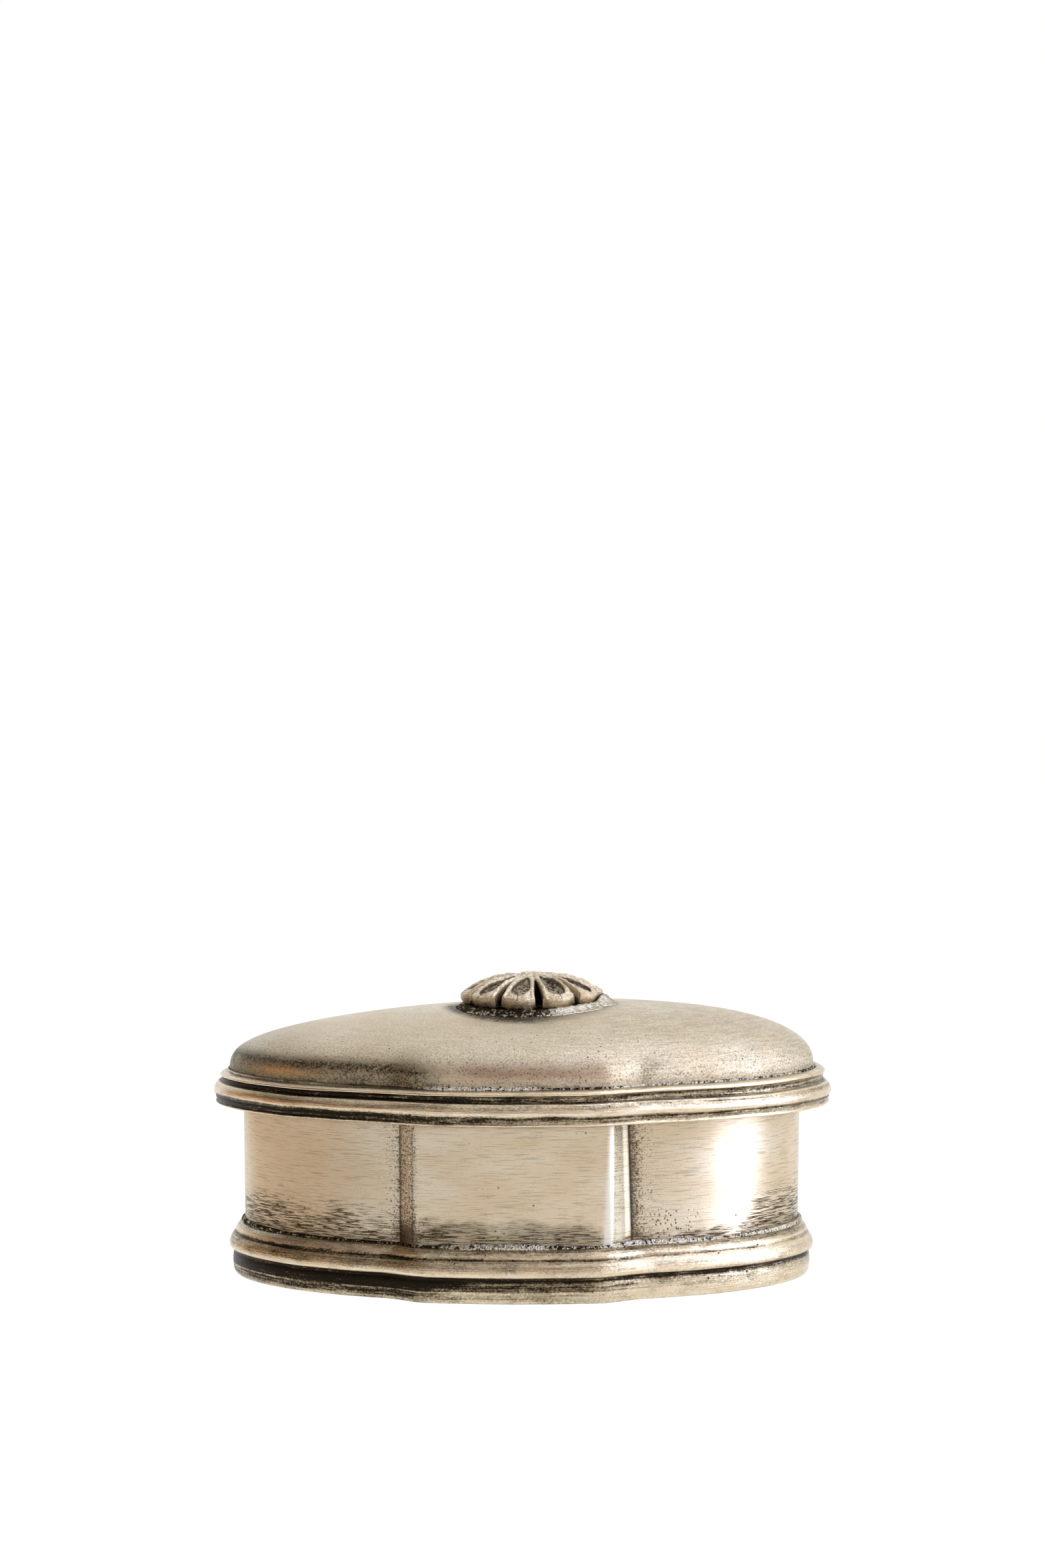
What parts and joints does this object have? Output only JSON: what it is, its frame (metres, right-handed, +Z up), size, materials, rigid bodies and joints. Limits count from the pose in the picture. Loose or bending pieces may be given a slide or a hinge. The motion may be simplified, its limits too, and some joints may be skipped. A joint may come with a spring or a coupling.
{
  "type": "lidded oval metal box",
  "caption": "Oval lidded keepsake box in brushed pewter-coloured metal, with stepped panels front and back, a reeded foot, a reeded lid rim and a cast rosette on a domed lift-off lid.",
  "frame": {"origin": "On the table under the middle of the floor plate.", "axes": "+X along the box, -Y out of the front panel, +Z up."},
  "size_m": [0.1204, 0.0786, 0.0584],
  "materials": {
    "wall_sheet": "pewter sheet, brushed along its length, with dark scratches low down",
    "floor_sheet": "pewter sheet, plain satin",
    "foot_moulding": "reeded pewter strip, polished on the crests, dark tarnish in the grooves",
    "rim_moulding": "reeded pewter strip, polished on the crests, dark tarnish in the grooves",
    "bezel_strip": "pewter strip, plain satin",
    "dome_sheet": "pewter sheet, fine satin grain with soft tarnish near its foot",
    "solder": "rough grey solder with bright filed spots",
    "cast_rosette": "cast pewter, worn bright on the rims, dark granular hollows"
  },
  "bodies": {
    "box": {"body_wall": "wall_sheet", "floor_plate": "floor_sheet", "base_moulding": "foot_moulding"},
    "lid": {"lid_rim": "rim_moulding", "lid_bezel": "bezel_strip", "lid_dome": "dome_sheet", "rosette_solder_bed": "solder", "rosette": "cast_rosette"}
  },
  "joints": [
    {"name": "lid_lift", "type": "slide", "parent": "box", "child": "lid", "axis": [0, 0, 1], "range_m": [0, 0.06]}
  ]
}
